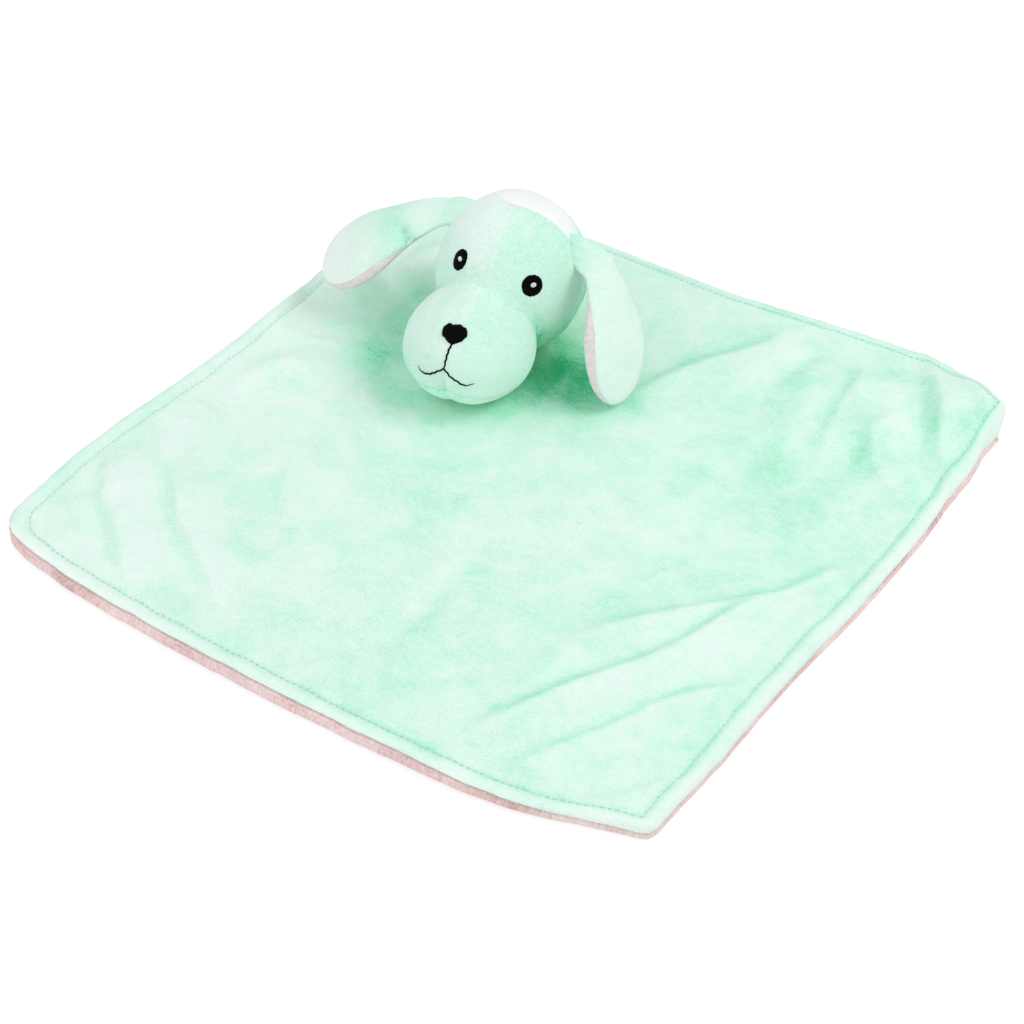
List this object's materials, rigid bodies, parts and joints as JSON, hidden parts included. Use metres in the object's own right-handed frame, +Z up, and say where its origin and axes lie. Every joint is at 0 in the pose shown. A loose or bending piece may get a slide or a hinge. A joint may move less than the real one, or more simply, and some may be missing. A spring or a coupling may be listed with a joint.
{
  "type": "comfort blanket with puppy head",
  "caption": "Square two-layer plush comfort blanket in mint and rose with a stuffed puppy head, embroidered face and two padded ears.",
  "frame": {"origin": "centre of the blanket's footprint, on the surface it lies on", "axes": "+Z up, X and Y along the blanket's sides; the puppy faces -Y, turned 10 degrees towards +X, and its left is +X"},
  "size_m": [0.3528, 0.3574, 0.0825],
  "materials": {
    "mint_plush": "short pile plush, matte",
    "rose_plush": "brushed plush, matte",
    "ear_lining": "soft ribbed plush, matte",
    "mint_thread": "twisted sewing thread",
    "black_thread": "satin stitch embroidery",
    "white_thread": "satin stitch embroidery",
    "stuffing_fibre": "loose fibre"
  },
  "bodies": {
    "blanket": {"blanket_top_panel": "mint_plush", "blanket_base_panel": "rose_plush", "edge_topstitch": "mint_thread", "edge_seam_thread": "mint_thread"},
    "neck": {"neck_base_panel": "mint_plush", "neck_seam_thread": "mint_thread"},
    "head": {"head_stuffing": "stuffing_fibre", "muzzle_stuffing": "stuffing_fibre", "head_back_panel": "mint_plush", "face_panel_left": "mint_plush", "face_panel_right": "mint_plush", "muzzle_panel_left": "mint_plush", "muzzle_panel_right": "mint_plush", "chin_panel": "mint_plush", "crown_seam_thread": "mint_thread", "forehead_seam_thread": "mint_thread", "muzzle_seam_thread": "mint_thread", "chin_seam_thread": "mint_thread", "eye_left": "black_thread", "eye_right": "black_thread", "eye_highlight_left": "white_thread", "eye_highlight_right": "white_thread", "nose": "black_thread", "mouth_stitch": "black_thread", "philtrum_stitch": "black_thread"},
    "ear_left": {"ear_left_outer": "mint_plush", "ear_left_lining": "ear_lining", "ear_left_padding": "stuffing_fibre", "ear_left_root_seam": "mint_thread"},
    "ear_right": {"ear_right_outer": "mint_plush", "ear_right_lining": "ear_lining", "ear_right_padding": "stuffing_fibre", "ear_right_root_seam": "mint_thread"}
  },
  "joints": [
    {"name": "head_turn", "type": "hinge", "parent": "blanket", "child": "neck", "pos_m": [-0.05776, 0.0834, 0.006], "axis": [0, 0, 1], "range_deg": [-15, 15]},
    {"name": "head_nod", "type": "hinge", "parent": "neck", "child": "head", "pos_m": [-0.06019, 0.09718, 0.0063], "axis": [-0.9848, -0.1736, 0], "range_deg": [0, 18]},
    {"name": "ear_left_lift", "type": "hinge", "parent": "head", "child": "ear_left", "pos_m": [-0.02734, 0.09291, 0.06352], "axis": [0.1736, -0.9848, 0], "range_deg": [0, 75]},
    {"name": "ear_right_lift", "type": "hinge", "parent": "head", "child": "ear_right", "pos_m": [-0.08637, 0.08251, 0.06863], "axis": [-0.1736, 0.9848, 0], "range_deg": [0, 55]}
  ]
}
